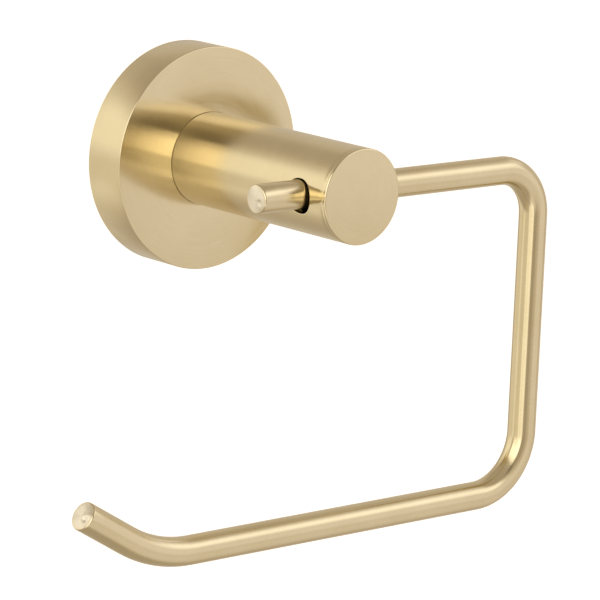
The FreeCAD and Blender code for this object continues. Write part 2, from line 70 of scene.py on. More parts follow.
CAVITY_RADIUS = 24.3 * MM
ROSETTE_FACE = 2.5 * MM
TURNED_EDGE = 0.4 * MM
SEAM_EDGE = 0.1 * MM
SEAT_RADIUS = 11.55 * MM
SEAT_DEPTH = 0.5 * MM
BOLT_HOLE_RADIUS = 3.2 * MM
GRUB_HOLE_RADIUS = 2.02 * MM
GRUB_STATION = 4 * MM
TUBE_BORE_RADIUS = 9.5 * MM
ARM_HOLE_RADIUS = 4.15 * MM
ARM_HOLE_STRETCH = 0.3 * MM
ARM_HOLE_STATION = ARM_STATION + 0.1 * MM
ARM_HOLE_DROP = 0.4 * MM
ARM_HOLE_EDGE = 0.2 * MM
LAND_RADIUS = 9.47 * MM
WAIST_RADIUS = 7.5 * MM
FRONT_LAND = 3.5 * MM
REAR_LAND = 6 * MM
TAPPED_RADIUS = 3.02 * MM
ARM_BORE_RADIUS = 3.55 * MM
STUB_END_X = -23.9 * MM
UPPER_BEND = 12 * MM
LOWER_BEND = 15 * MM
HOOK_BEND = 36 * MM
HOOK_CORNER_X = -50.2 * MM
HOOK_LENGTH = 25 * MM
HOOK_RISE = math.radians(31)
ROD_GROOVE_HALF = 2.2 * MM
ROD_GROOVE_DEPTH = 1.2 * MM
ROD_DOME = 0.5 * MM
ROD_END_EDGE = 0.5 * MM

# Details that only these meshes have: a crisper front edge on the rosette, and on the
# rod's cut ends a small pit off the middle and a border between polished and cut metal,
# as a share of the radius

ROSETTE_EDGE = 0.25 * MM
PIT_RADIUS = 1.1 * MM
PIT_DEPTH = 0.3 * MM
PIT_REACH = 1.5 * MM
PIT_LEAN = 0.4
CUT_BORDER = 0.25

# Edges that turn by more than these angles stay sharp in the shading

TURNED_SHARP = math.radians(28)
ROD_SHARP = math.radians(40)

# Shorter edges, which cutting holes can leave, are taken out

SHORTEST_EDGE = 0.001 * MM


# Meshes


class QuadMesh:
    """Rings of vertices joined by quads, for one piece.

    Each vertex has an edge wear and a cut-end value, from 0 to 1, for the materials."""

    def __init__(self):
        self.vertices, self.faces, self.wear, self.cut_end = [], [], [], []

    def add(self, point, wear=0.0, cut_end=0.0):
        self.vertices.append(point)
        self.wear.append(wear)
        self.cut_end.append(cut_end)
        return len(self.vertices) - 1

    def ring(self, points, wear=0.0, cut_end=0.0):
        return [self.add(point, wear, cut_end) for point in points]

    def bridge(self, first, second):
        """Quads between two closed rings, or triangles where one is a single point."""
        count = max(len(first), len(second))
        for i in range(count):
            k = (i + 1) % count
            if len(first) == 1:
                self.faces.append((first[0], second[k], second[i]))
            elif len(second) == 1:
                self.faces.append((first[i], first[k], second[0]))
            else:
                self.faces.append((first[i], first[k], second[k], second[i]))

    def finish(self, name, sharp_angle=TURNED_SHARP):
        mesh = bpy.data.meshes.new(name)
        mesh.from_pydata([tuple(v) for v in self.vertices], [], self.faces)
        for label, values in (("edge_wear", self.wear), ("cut_end", self.cut_end)):
            mesh.attributes.new(label, "FLOAT", "POINT").data.foreach_set("value", values)
        work = bmesh.new()
        work.from_mesh(mesh)
        bmesh.ops.recalc_face_normals(work, faces=work.faces)
        work.to_mesh(mesh)
        work.free()
        mesh.shade_smooth()
        mesh.set_sharp_from_angle(angle=sharp_angle)
        piece = bpy.data.objects.new(name, mesh)
        bpy.context.scene.collection.objects.link(piece)
        return piece


def corner_arc(corner, before, after, radius):
    """The arc that rounds a corner, as its centre, its first and last spoke's direction
    and half the angle between the two sides. All are 2-D."""
    back = (before - corner).normalized()
    ahead = (after - corner).normalized()
    half_angle = back.angle(ahead) / 2
    hub = corner + (back + ahead).normalized() * radius / math.sin(half_angle)
    first = (corner + back * radius / math.tan(half_angle) - hub).normalized()
    last = (corner + ahead * radius / math.tan(half_angle) - hub).normalized()
    return hub, first, last, half_angle


def rounded(corners, steps=5):
    """A closed outline from (across, along, radius) corners, each rounded by its radius.

    Gives (across, along, wear) points, with the most wear in the middle of a rounding."""
    outline = []
    places = [Vector(corner[:2]) for corner in corners]
    for i, (across, along, radius) in enumerate(corners):
        if radius == 0:
            outline.append((across, along, 0.0))
            continue
        following = places[(i + 1) % len(places)]
        hub, first, last, _ = corner_arc(places[i], places[i - 1], following, radius)
        for k in range(steps + 1):
            spoke = first.slerp(last, k / steps) * radius
            wear = math.sin(math.pi * k / steps)
            outline.append((hub.x + spoke.x, hub.y + spoke.y, wear))
    return outline


def circle_about_post(radius, station, count):
    turns = [2 * math.pi * i / count for i in range(count)]
    return [
        Vector((radius * math.cos(t), -station, radius * math.sin(t))) for t in turns
    ]


def lathe(name, outline, count):
    """Turns a closed outline of (radius, station, wear) points about the post's axis."""
    mesh = QuadMesh()
    rings = [
        mesh.ring(circle_about_post(radius, station, count if radius else 1), wear)
        for radius, station, wear in outline
    ]
    for first, second in zip(rings, rings[1:] + rings[:1]):
        if len(first) > 1 or len(second) > 1:
            mesh.bridge(first, second)
    return mesh.finish(name)


def drill(piece, start, end, radius, count=96):
    """Cuts a straight round hole through a piece."""
    along = (end - start).normalized()
    side = along.orthogonal().normalized()
    other = along.cross(side)
    turns = [2 * math.pi * i / count for i in range(count)]
    spokes = [(side * math.cos(t) + other * math.sin(t)) * radius for t in turns]
    mesh = QuadMesh()
    near = mesh.ring([start + spoke for spoke in spokes])
    far = mesh.ring([end + spoke for spoke in spokes])
    mesh.bridge(near, far)
    mesh.faces += [tuple(near), tuple(reversed(far))]
    cutter = mesh.finish("drill_bit")
    modifier = piece.modifiers.new("drilled", "BOOLEAN")
    modifier.operation = "DIFFERENCE"
    modifier.solver = "EXACT"
    modifier.object = cutter
    graph = bpy.context.evaluated_depsgraph_get()
    drilled = bpy.data.meshes.new_from_object(piece.evaluated_get(graph))
    piece.modifiers.clear()
    piece.data = drilled
    work = bmesh.new()
    work.from_mesh(drilled)
    bmesh.ops.dissolve_degenerate(work, dist=SHORTEST_EDGE, edges=work.edges)
    work.to_mesh(drilled)
    work.free()
    drilled.set_sharp_from_angle(angle=TURNED_SHARP)
    bpy.data.objects.remove(cutter)


# Rosette and nose: turned, then drilled


def make_rosette():
    corners = [
        (CAVITY_RADIUS, 0, 0.1 * MM),
        (ROSETTE_RADIUS, 0, 0.1 * MM),
        (ROSETTE_RADIUS, ROSETTE_DEPTH, ROSETTE_EDGE),
        (SEAT_RADIUS, ROSETTE_DEPTH, 0.04 * MM),
        (SEAT_RADIUS, ROSETTE_DEPTH - SEAT_DEPTH, 0),
        (BOLT_HOLE_RADIUS, ROSETTE_DEPTH - SEAT_DEPTH, 0),
        (BOLT_HOLE_RADIUS, ROSETTE_DEPTH - ROSETTE_FACE, 0),
        (CAVITY_RADIUS, ROSETTE_DEPTH - ROSETTE_FACE, 0),
    ]
    piece = lathe("rosette_shell", rounded(corners), 240)
    below = Vector((0, -GRUB_STATION, -ROSETTE_RADIUS - MM))
    inside = Vector((0, -GRUB_STATION, -CAVITY_RADIUS + MM))
    drill(piece, below, inside, GRUB_HOLE_RADIUS, 48)
    return piece


def make_nose():
    corners = [
        (TAPPED_RADIUS, NOSE_BACK, 0.2 * MM),
        (LAND_RADIUS, NOSE_BACK, 0.3 * MM),
        (LAND_RADIUS, NOSE_BACK + REAR_LAND, 0),
        (WAIST_RADIUS, NOSE_BACK + REAR_LAND, 0),
        (WAIST_RADIUS, TUBE_FRONT - FRONT_LAND, 0),
        (LAND_RADIUS, TUBE_FRONT - FRONT_LAND, 0),
        (LAND_RADIUS, TUBE_FRONT, 0),
        (POST_RADIUS, TUBE_FRONT, SEAM_EDGE),
        (POST_RADIUS, NOSE_FRONT, TURNED_EDGE),
        (0, NOSE_FRONT, 0),
        (0, ARM_STATION, 0),
        (TAPPED_RADIUS, ARM_STATION, 0),
    ]
    piece = lathe("nose_block", rounded(corners), 192)
    left = Vector((-POST_RADIUS, -ARM_STATION, 0))
    right = Vector((POST_RADIUS, -ARM_STATION, 0))
    drill(piece, left, right, ARM_BORE_RADIUS)
    return piece


# Post tube: a grid of quads at each of two radii, with a square round each arm hole
# whose rings shrink to the hole's outline

TUBE_COLUMNS = 192
PATCH_HALF = 20
PATCH_RINGS = 10
PATCH_CROWDING = 1.4
CELL_TURN = 2 * math.pi / TUBE_COLUMNS
CELL_LENGTH = POST_RADIUS * CELL_TURN
HOLE_SIDES = (1, -1)


def tube_point(radius, side, station, turn):
    """A point of the tube; the turn is measured from the side's own middle line."""
    return Vector((side * radius * math.cos(turn), -station, radius * math.sin(turn)))


def patch_border():
    """Cell offsets (along, up) round the square patch, from its front corner."""
    run = range(-PATCH_HALF, PATCH_HALF)
    front = [(PATCH_HALF, up) for up in run]
    top = [(-along, PATCH_HALF) for along in run]
    back = [(-PATCH_HALF, -up) for up in run]
    bottom = [(along, -PATCH_HALF) for along in run]
    return front + top + back + bottom


def hole_outline(radius, grow):
    """The oval arm hole on a cylinder, as (station, turn), one for each border point."""
    outline = []
    for border in patch_border():
        direction = Vector(border).normalized()
        if direction.x == 0:
            centre_shift = 0.0
        else:
            centre_shift = math.copysign(ARM_HOLE_STRETCH / 2, direction.x)
        reach = direction * (ARM_HOLE_RADIUS + grow)
        height = reach.y - ARM_HOLE_DROP
        outline.append((ARM_HOLE_STATION + centre_shift + reach.x, math.asin(height / radius)))
    return outline


def tube_rows():
    """Stations of the grid's rows, and the number of the patch's first row."""
    patch_back = ARM_HOLE_STATION - PATCH_HALF * CELL_LENGTH
    plain_rows = round((patch_back - TUBE_BACK) / (3 * CELL_LENGTH))
    step = (patch_back - TUBE_BACK) / plain_rows
    rows = [TUBE_BACK + SEAM_EDGE] + [TUBE_BACK + step * i for i in range(1, plain_rows)]
    rows += [patch_back + CELL_LENGTH * i for i in range(2 * PATCH_HALF + 1)]
    return rows + [TUBE_FRONT - SEAM_EDGE], plain_rows


def tube_skin(mesh, radius, grow):
    """One cylindrical skin. Gives its back and front rings and its two hole rings."""
    rows, first_row = tube_rows()
    grid = {}

    def in_patch(row, column, margin):
        """With margin 0 for a quad, by its first corner, and 1 for a vertex."""
        offset = (column + PATCH_HALF) % (TUBE_COLUMNS // 2) - PATCH_HALF
        along = row - first_row - PATCH_HALF
        limit = PATCH_HALF - margin
        return -limit <= along < limit + margin and -limit <= offset < limit + margin

    for row, station in enumerate(rows):
        for column in range(TUBE_COLUMNS):
            if not in_patch(row, column, 1):
                turn = column * CELL_TURN
                grid[row, column] = mesh.add(tube_point(radius, 1, station, turn))
    for row in range(len(rows) - 1):
        for column in range(TUBE_COLUMNS):
            if not in_patch(row, column, 0):
                beside = (column + 1) % TUBE_COLUMNS
                mesh.faces.append(
                    (
                        grid[row, column],
                        grid[row, beside],
                        grid[row + 1, beside],
                        grid[row + 1, column],
                    )
                )
    hole_rings = [shrink_patch(mesh, grid, first_row, radius, grow, s) for s in HOLE_SIDES]
    back = [grid[0, column] for column in range(TUBE_COLUMNS)]
    front = [grid[len(rows) - 1, column] for column in range(TUBE_COLUMNS)]
    return back, front, hole_rings


def shrink_patch(mesh, grid, first_row, radius, grow, side):
    """Rings from a patch's border to its hole. Gives the ring at the hole."""
    middle_row = first_row + PATCH_HALF
    ring = []
    for along, up in patch_border():
        column = up if side > 0 else TUBE_COLUMNS // 2 - up
        ring.append(grid[middle_row + along, column % TUBE_COLUMNS])
    hole = hole_outline(radius, grow)
    for k in range(1, PATCH_RINGS + 1):
        share = 1 - (1 - k / PATCH_RINGS) ** PATCH_CROWDING
        points = []
        for (along, up), (hole_station, hole_turn) in zip(patch_border(), hole):
            station = ARM_HOLE_STATION + along * CELL_LENGTH
            turn = up * CELL_TURN
            points.append(
                tube_point(
                    radius,
                    side,
                    station + (hole_station - station) * share,
                    turn + (hole_turn - turn) * share,
                )
            )
        inner = mesh.ring(points)
        mesh.bridge(ring, inner)
        ring = inner
    return ring


def hole_wall(mesh, outer_ring, bore_ring, side, steps=4):
    """The hole's rounded rim and its straight wall, down to the bore."""
    ring = outer_ring
    for k in range(1, steps + 1):
        turn = math.pi / 2 * k / steps
        outline = hole_outline(POST_RADIUS, ARM_HOLE_EDGE * (1 - math.sin(turn)))
        sink = ARM_HOLE_EDGE * (1 - math.cos(turn))
        points = [tube_point(POST_RADIUS, side, *place) for place in outline]
        for point in points:
            point.x -= side * sink
        inner = mesh.ring(points, wear=math.sin(math.pi * k / steps))
        mesh.bridge(ring, inner)
        ring = inner
    mesh.bridge(ring, bore_ring)


def tube_end(mesh, outer_ring, bore_ring, station, inward, steps=3):
    """Joins the two skins at an end; the outer edge has the seam's small rounding."""
    ring = outer_ring
    for k in range(1, steps + 1):
        turn = math.pi / 2 * k / steps
        radius = POST_RADIUS - SEAM_EDGE * (1 - math.cos(turn))
        place = station + inward * SEAM_EDGE * (1 - math.sin(turn))
        points = circle_about_post(radius, place, TUBE_COLUMNS)
        following = mesh.ring(points, wear=math.sin(math.pi * k / steps))
        mesh.bridge(ring, following)
        ring = following
    flat = mesh.ring(circle_about_post(TUBE_BORE_RADIUS, station, TUBE_COLUMNS))
    mesh.bridge(ring, flat)
    mesh.bridge(flat, bore_ring)


def make_tube():
    mesh = QuadMesh()
    outer_back, outer_front, outer_holes = tube_skin(mesh, POST_RADIUS, ARM_HOLE_EDGE)
    bore_back, bore_front, bore_holes = tube_skin(mesh, TUBE_BORE_RADIUS, 0)
    for side, outer_ring, bore_ring in zip(HOLE_SIDES, outer_holes, bore_holes):
        hole_wall(mesh, outer_ring, bore_ring, side)
    tube_end(mesh, outer_back, bore_back, TUBE_BACK, 1)
    tube_end(mesh, outer_front, bore_front, TUBE_FRONT, -1)
    return mesh.finish("post_sleeve")


# Arm: rings of the rod's section along its bent centre line

ROD_COLUMNS = 64
BEND_STEP = math.radians(2.5)
RUN_STEP = 4 * MM
TOUCHING = 1e-9


def arm_corners():
    """Corners of the centre line in the arm's upright plane, as (x, z)."""
    hook_corner = Vector((HOOK_CORNER_X, LOWER_RUN_Z))
    slope = Vector((-math.cos(HOOK_RISE), math.sin(HOOK_RISE)))
    return [
        Vector((STUB_END_X, 0)),
        Vector((LEG_X, 0)),
        Vector((LEG_X, LOWER_RUN_Z)),
        hook_corner,
        hook_corner + slope * HOOK_LENGTH,
    ]


def straight(start, end):
    """(place, direction) along a straight run, without its last point."""
    steps = max(1, round((end - start).length / RUN_STEP))
    direction = (end - start).normalized()
    return [(start.lerp(end, i / steps), direction) for i in range(steps)]


def bend(corner, before, after, radius):
    """(place, direction) along the arc that rounds a corner, both ends included."""
    hub, first, last, half_angle = corner_arc(corner, before, after, radius)
    steps = math.ceil((math.pi - 2 * half_angle) / BEND_STEP)
    places = []
    for k in range(steps + 1):
        spoke = first.slerp(last, k / steps)
        direction = Vector((spoke.y, -spoke.x)).normalized()
        if direction.dot(last - first) < 0:
            direction.negate()
        places.append((hub + spoke * radius, direction))
    return places


def arm_line():
    """(place, direction) from the stub's end to the hook's end."""
    corners = arm_corners()
    line = []
    start = corners[0]
    for i, radius in enumerate((UPPER_BEND, LOWER_BEND, HOOK_BEND), start=1):
        arc = bend(corners[i], corners[i - 1], corners[i + 1], radius)
        line += straight(start, arc[0][0]) + arc[:-1]
        start = arc[-1][0]
    line += straight(start, corners[-1])
    return line + [(corners[-1], line[-1][1])]


def dome_profile(dome_steps=14, edge_steps=5):
    """(radius, rise) points of a domed rod end, from the rod's side to its middle."""
    ball = (ROD_RADIUS**2 + ROD_DOME**2) / (2 * ROD_DOME)
    ball_rise = ROD_DOME - ball
    edge_radius = ROD_RADIUS - ROD_END_EDGE
    edge_rise = math.sqrt((ball - ROD_END_EDGE) ** 2 - edge_radius**2) + ball_rise
    tilt = math.asin(edge_radius / (ball - ROD_END_EDGE))
    profile = []
    for k in range(edge_steps + 1):
        turn = (math.pi / 2 - tilt) * k / edge_steps
        profile.append(
            (
                edge_radius + ROD_END_EDGE * math.cos(turn),
                edge_rise + ROD_END_EDGE * math.sin(turn),
            )
        )
    for k in range(1, dome_steps + 1):
        turn = tilt * (1 - k / dome_steps)
        profile.append((ball * math.sin(turn), ball * math.cos(turn) + ball_rise))
    return profile


def section(place, direction, radius):
    """One ring of the rod; its first point is at the front."""
    centre = Vector((place.x, -ARM_STATION, place.y))
    other = Vector((direction.x, 0, direction.y)).cross(Y_AXIS)
    turns = [2 * math.pi * i / ROD_COLUMNS for i in range(ROD_COLUMNS)]
    return [centre + (-Y_AXIS * math.cos(t) + other * math.sin(t)) * radius for t in turns]


def cut_marks(points, outward, pit, depth=0.08 * MM):
    """Sinks points of a rod end a little, as a saw and a belt leave it.

    Round the pit they sink more, where the stub of the bar broke off."""
    for point in points:
        rough = noise.noise(point * 700) + 0.5 * noise.noise(point * 1700)
        sink = depth * (0.5 + 0.5 * max(-1.0, min(1.0, rough)))
        reach = (point - pit).length / PIT_RADIUS
        if reach < 1:
            sink += PIT_DEPTH * (0.5 + 0.5 * math.cos(math.pi * reach))
        point -= outward * sink


def end_rings(place, direction):
    """Rings of a domed end from the rod's side to its middle; direction points out."""
    outward = Vector((direction.x, 0, direction.y))
    middle = Vector((place.x, -ARM_STATION, place.y)) + outward * ROD_DOME
    pit = middle - Y_AXIS * PIT_REACH + outward.cross(Y_AXIS) * PIT_REACH * PIT_LEAN
    rings = []
    for radius, rise in dome_profile():
        cut_end = min(1.0, (1 - radius / ROD_RADIUS) / CUT_BORDER)
        points = section(place + direction * rise, direction, radius)
        if radius < TOUCHING:
            points = points[:1]
        if cut_end > 0.4:
            cut_marks(points, outward, pit)
        rings.append((points, cut_end))
    return rings


def rod_rings():
    """(points, cut_end) of every ring of the arm, from the stub to the hook."""
    line = arm_line()
    first_rise = dome_profile()[0][1]
    stub_place, stub_direction = line[0]
    hook_place, hook_direction = line[-1]
    stub = end_rings(stub_place, -stub_direction)
    stub = [(points[:1] + points[:0:-1], cut_end) for points, cut_end in stub]
    rings = list(reversed(stub))
    groove = [
        (-ROD_GROOVE_HALF, ROD_RADIUS),
        (-ROD_GROOVE_HALF, ROD_RADIUS - ROD_GROOVE_DEPTH),
        (ROD_GROOVE_HALF, ROD_RADIUS - ROD_GROOVE_DEPTH),
        (ROD_GROOVE_HALF, ROD_RADIUS),
    ]
    groove_pending = True
    for place, direction in line[1:-1]:
        on_upper_run = abs(place.y) < TOUCHING
        if on_upper_run and abs(place.x) <= ROD_GROOVE_HALF * 1.2:
            continue
        if groove_pending and place.x > ROD_GROOVE_HALF:
            groove_pending = False
            for x, radius in groove:
                rings.append((section(Vector((x, 0)), direction, radius), 0.0))
        rings.append((section(place, direction, ROD_RADIUS), 0.0))
    hook_start = abs(first_rise)
    if (hook_place - line[-2][0]).length < hook_start:
        rings.pop()
    return rings + end_rings(hook_place, hook_direction)


def unwrap_rod(mesh, rings):
    """UVs for the rod: u is metres along it and v goes once round it.

    On a face that closes the round, v carries on past 1."""
    where = {}
    travelled = 0.0
    middle = None
    for points, ring in rings:
        centre = sum(points, Vector()) / len(points)
        if middle is not None:
            travelled += (centre - middle).length
        middle = centre
        for i, index in enumerate(ring):
            where[index] = (travelled, i / ROD_COLUMNS)
    layer = mesh.uv_layers.new(name="along_rod")
    for face in mesh.polygons:
        places = [where[mesh.loops[i].vertex_index] for i in face.loop_indices]
        wraps = max(v for _, v in places) - min(v for _, v in places) > 0.5
        for loop_index, (along, v) in zip(face.loop_indices, places):
            layer.data[loop_index].uv = (along, v + 1 if wraps and v < 0.5 else v)


def make_arm():
    mesh = QuadMesh()
    rings = []
    for points, cut_end in rod_rings():
        rings.append((points, mesh.ring(points, cut_end=cut_end)))
    for (_, first), (_, second) in zip(rings, rings[1:]):
        mesh.bridge(first, second)
    piece = mesh.finish("arm_rod", ROD_SHARP)
    unwrap_rod(piece.data, rings)
    return piece


# Materials


class Graph:
    """Makes and links the nodes of one material or world."""

    def __init__(self, tree):
        self.tree = tree
        tree.nodes.clear()

    def node(self, kind, inputs=None, **settings):
        node = self.tree.nodes.new(kind)
        for name, value in settings.items():
            setattr(node, name, value)
        for name, value in (inputs or {}).items():
            if isinstance(value, bpy.types.NodeSocket):
                self.tree.links.new(value, node.inputs[name])
            else:
                node.inputs[name].default_value = value
        return node

    def math(self, operation, first, second=0.0, clamp=False):
        inputs = {0: first, 1: second}
        return self.node(
            "ShaderNodeMath", inputs, operation=operation, use_clamp=clamp
        ).outputs[0]

    def vector(self, operation, first, second=(0, 0, 0)):
        inputs = {0: first, 1: second}
        return self.node("ShaderNodeVectorMath", inputs, operation=operation)

    def remap(self, value, low, high, new_low, new_high, smooth=False):
        inputs = {0: value, 1: low, 2: high, 3: new_low, 4: new_high}
        kind = "SMOOTHSTEP" if smooth else "LINEAR"
        return self.node("ShaderNodeMapRange", inputs, interpolation_type=kind).outputs[0]

    def noise(self, vector, scale, detail=2.0, roughness=0.5):
        inputs = {
            "Vector": vector,
            "Scale": scale,
            "Detail": detail,
            "Roughness": roughness,
        }
        return self.node("ShaderNodeTexNoise", inputs).outputs["Fac"]

    def mix(self, factor, first, second):
        """Mixes two colours, by the sockets that the node has for colours."""
        inputs = {0: factor, 6: first, 7: second}
        return self.node("ShaderNodeMix", inputs, data_type="RGBA").outputs[2]

    def bump(self, height, strength, depth):
        inputs = {"Height": height, "Strength": strength, "Distance": depth}
        return self.node("ShaderNodeBump", inputs).outputs[0]

    def attribute(self, name):
        return self.node("ShaderNodeAttribute", attribute_name=name).outputs["Fac"]

    def surface(self, shader):
        output = self.node("ShaderNodeOutputMaterial")
        self.tree.links.new(shader.outputs[0], output.inputs["Surface"])


def new_graph(name):
    material = bpy.data.materials.new(name)
    material.use_nodes = True
    return material, Graph(material.node_tree)


def turned_streaks(graph, pitch, spread):
    """Noise streaks that run round the post's axis, about one pitch apart."""
    position = graph.node("ShaderNodeTexCoord").outputs["Object"]
    flat = graph.vector("MULTIPLY", position, (1, 0, 1)).outputs[0]
    radius = graph.vector("LENGTH", flat).outputs["Value"]
    outward = graph.vector("NORMALIZE", flat).outputs[0]
    parts = graph.node("ShaderNodeSeparateXYZ", {0: position}).outputs
    travel = graph.math("SUBTRACT", radius, parts["Y"])
    travel = graph.math("DIVIDE", travel, pitch)
    around = graph.vector("SCALE", outward)
    around.inputs["Scale"].default_value = spread
    lift = graph.node("ShaderNodeCombineXYZ", {"Y": travel}).outputs[0]
    return graph.vector("ADD", around.outputs[0], lift).outputs[0]


def rod_streaks(graph, pitch, spread):
    """Noise streaks that run round the rod, about one pitch apart."""
    place = graph.node("ShaderNodeUVMap", uv_map="along_rod").outputs[0]
    parts = graph.node("ShaderNodeSeparateXYZ", {0: place}).outputs
    turn = graph.math("MULTIPLY", parts["Y"], 2 * math.pi)
    across = graph.math("MULTIPLY", graph.math("COSINE", turn), spread)
    up = graph.math("MULTIPLY", graph.math("SINE", turn), spread)
    travel = graph.math("DIVIDE", parts["X"], pitch)
    return graph.node("ShaderNodeCombineXYZ", {0: across, 1: travel, 2: up}).outputs[0]


# Base colours of the gold, and the brushing: how far apart its lines are, how far they
# carry round a piece, how deep they are, and how much smoother the metal is along them

GOLD = (0.785, 0.69, 0.46, 1)
GOLD_DEEP = (0.72, 0.62, 0.395, 1)
GOLD_WORN = (0.79, 0.70, 0.48, 1)
GOLD_CUT = (0.90, 0.85, 0.72, 1)
FINE_PITCH, FINE_SPREAD = 0.16 * MM, 2.2
BROAD_PITCH, BROAD_SPREAD = 1.3 * MM, 1.1
BRUSH_DEPTH = 0.005 * MM
BRUSH_STRENGTH = 0.5
BRUSH_ANISOTROPY = 0.93


def satin_gold(name, streaks, tangent):
    """Brushed champagne gold. The streaks are the fine lines that the brushing leaves."""
    material, graph = new_graph(name)
    fine = graph.noise(streaks(graph, FINE_PITCH, FINE_SPREAD), 1.0, 3.0, 0.6)
    broad = graph.noise(streaks(graph, BROAD_PITCH, BROAD_SPREAD), 1.0, 2.0, 0.5)
    position = graph.node("ShaderNodeTexCoord").outputs["Object"]
    cloud = graph.noise(position, 60, 3.0, 0.55)
    specks = graph.noise(position, 5200, 1.0, 0.5)
    wear = graph.attribute("edge_wear")
    cut_end = graph.attribute("cut_end")

    tone = graph.math("MULTIPLY", cloud, 0.55)
    tone = graph.math("ADD", graph.math("MULTIPLY", fine, 0.45), tone)
    colour = graph.mix(graph.remap(tone, 0.35, 0.65, 0, 1), GOLD_DEEP, GOLD)
    colour = graph.mix(graph.math("MULTIPLY", wear, 0.4), colour, GOLD_WORN)
    colour = graph.mix(graph.math("MULTIPLY", cut_end, 0.85), colour, GOLD_CUT)

    roughness = graph.remap(fine, 0.3, 0.7, 0.12, 0.155)
    drift = graph.remap(broad, 0.3, 0.7, -0.01, 0.01)
    roughness = graph.math("ADD", roughness, drift)
    roughness = graph.math("SUBTRACT", roughness, graph.math("MULTIPLY", wear, 0.02))
    roughness = graph.math("ADD", roughness, graph.math("MULTIPLY", cut_end, 0.16))

    height = graph.math("ADD", fine, graph.math("MULTIPLY", specks, 0.15))
    height = graph.math("ADD", height, graph.math("MULTIPLY", broad, 0.8))
    bump = graph.bump(height, BRUSH_STRENGTH, BRUSH_DEPTH)
    shader = graph.node(
        "ShaderNodeBsdfPrincipled",
        {
            "Base Color": colour,
            "Roughness": roughness,
            "Metallic": 1.0,
            "Anisotropic": BRUSH_ANISOTROPY,
            "Normal": bump,
            "Tangent": tangent(graph),
        },
    )
    if streaks is turned_streaks:
        shader.inputs["Anisotropic Rotation"].default_value = 0.25
    graph.surface(shader)
    return material


def turned_tangent(graph):
    return graph.node("ShaderNodeTangent", direction_type="RADIAL", axis="Y").outputs[0]


def rod_tangent(graph):
    return graph.node(
        "ShaderNodeTangent", direction_type="UV_MAP", uv_map="along_rod"
    ).outputs[0]


def zinc_plate():
    """Zinc plating on steel: pale grey with a faint yellow and blue cast."""
    material, graph = new_graph("zinc_plate")
    position = graph.node("ShaderNodeTexCoord").outputs["Object"]
    cast = graph.noise(position, 260, 3.0, 0.55)
    grain = graph.noise(position, 3800, 2.0, 0.6)
    colour = graph.mix(
        graph.remap(cast, 0.35, 0.65, 0, 1), (0.57, 0.60, 0.64, 1), (0.69, 0.67, 0.58, 1)
    )
    shader = graph.node(
        "ShaderNodeBsdfPrincipled",
        {
            "Base Color": colour,
            "Roughness": graph.remap(grain, 0.3, 0.7, 0.26, 0.38),
            "Metallic": 1.0,
            "Normal": graph.bump(grain, 0.4, 0.01 * MM),
        },
    )
    graph.surface(shader)
    return material


def cast_zinc():
    """Die-cast zinc: dull grey with a pebbled skin and darker flow marks."""
    material, graph = new_graph("cast_zinc")
    position = graph.node("ShaderNodeTexCoord").outputs["Object"]
    flow = graph.noise(position, 90, 4.0, 0.6)
    pebble = graph.noise(position, 2400, 3.0, 0.55)
    colour = graph.mix(
        graph.remap(flow, 0.3, 0.7, 0, 1), (0.36, 0.365, 0.37, 1), (0.50, 0.505, 0.51, 1)
    )
    shader = graph.node(
        "ShaderNodeBsdfPrincipled",
        {
            "Base Color": colour,
            "Roughness": graph.remap(pebble, 0.3, 0.7, 0.40, 0.55),
            "Metallic": 1.0,
            "Normal": graph.bump(pebble, 0.5, 0.03 * MM),
        },
    )
    graph.surface(shader)
    return material


def pale_floor():
    material, graph = new_graph("pale_floor")
    position = graph.node("ShaderNodeTexCoord").outputs["Object"]
    mottle = graph.noise(position, 6, 3.0, 0.5)
    colour = graph.mix(mottle, (0.90, 0.90, 0.895, 1), (0.93, 0.93, 0.93, 1))
    shader = graph.node(
        "ShaderNodeBsdfPrincipled",
        {
            "Base Color": colour,
            "Roughness": graph.remap(mottle, 0.3, 0.7, 0.75, 0.9),
            "Emission Color": (1, 1, 1, 1),
            "Emission Strength": 0.55,
        },
    )
    graph.surface(shader)
    return material


# Pieces in the frame


def dress(piece, material):
    piece.data.materials.clear()
    piece.data.materials.append(material)


def place_new_piece(piece, node, body, material):
    dress(piece, material)
    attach(piece, body)
    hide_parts(node)


def dress_frame_node(node, material):
    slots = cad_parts[node].material_slots
    for slot in slots:
        slot.material = material


def build_holder():
    turned_gold = satin_gold("satin_gold_turned", turned_streaks, turned_tangent)
    rod_gold = satin_gold("satin_gold_rod", rod_streaks, rod_tangent)
    place_new_piece(make_rosette(), "rosette", "wall_mount", turned_gold)
    place_new_piece(make_tube(), "post_tube", "wall_mount", turned_gold)
    place_new_piece(make_nose(), "post_nose", "wall_mount", turned_gold)
    place_new_piece(make_arm(), "arm", "swing_arm", rod_gold)
    plated = zinc_plate()
    for node in (
        "rosette_grub_screw",
        "tie_bolt",
        "spring_washer",
        "flat_washer",
        "arm_retaining_screw",
    ):
        dress_frame_node(node, plated)
    dress_frame_node("wall_bracket", cast_zinc())


# Studio


def compass(azimuth, elevation):
    """A direction from the holder; azimuth 0 is straight out from the wall, + is to +X."""
    a, e = math.radians(azimuth), math.radians(elevation)
    return Vector((math.sin(a) * math.cos(e), -math.cos(a) * math.cos(e), math.sin(e)))


def softbox(name, azimuth, elevation, distance, width, height, radiance):
    light = bpy.data.lights.new(name, "AREA")
    light.shape = "RECTANGLE"
    light.size = width
    light.size_y = height
    light.energy = radiance * math.pi * width * height
    lamp = bpy.data.objects.new(name, light)
    direction = compass(azimuth, elevation)
    lamp.location = direction * distance
    lamp.rotation_euler = direction.to_track_quat("Z", "Y").to_euler()
    lamp.visible_camera = False
    bpy.context.scene.collection.objects.link(lamp)


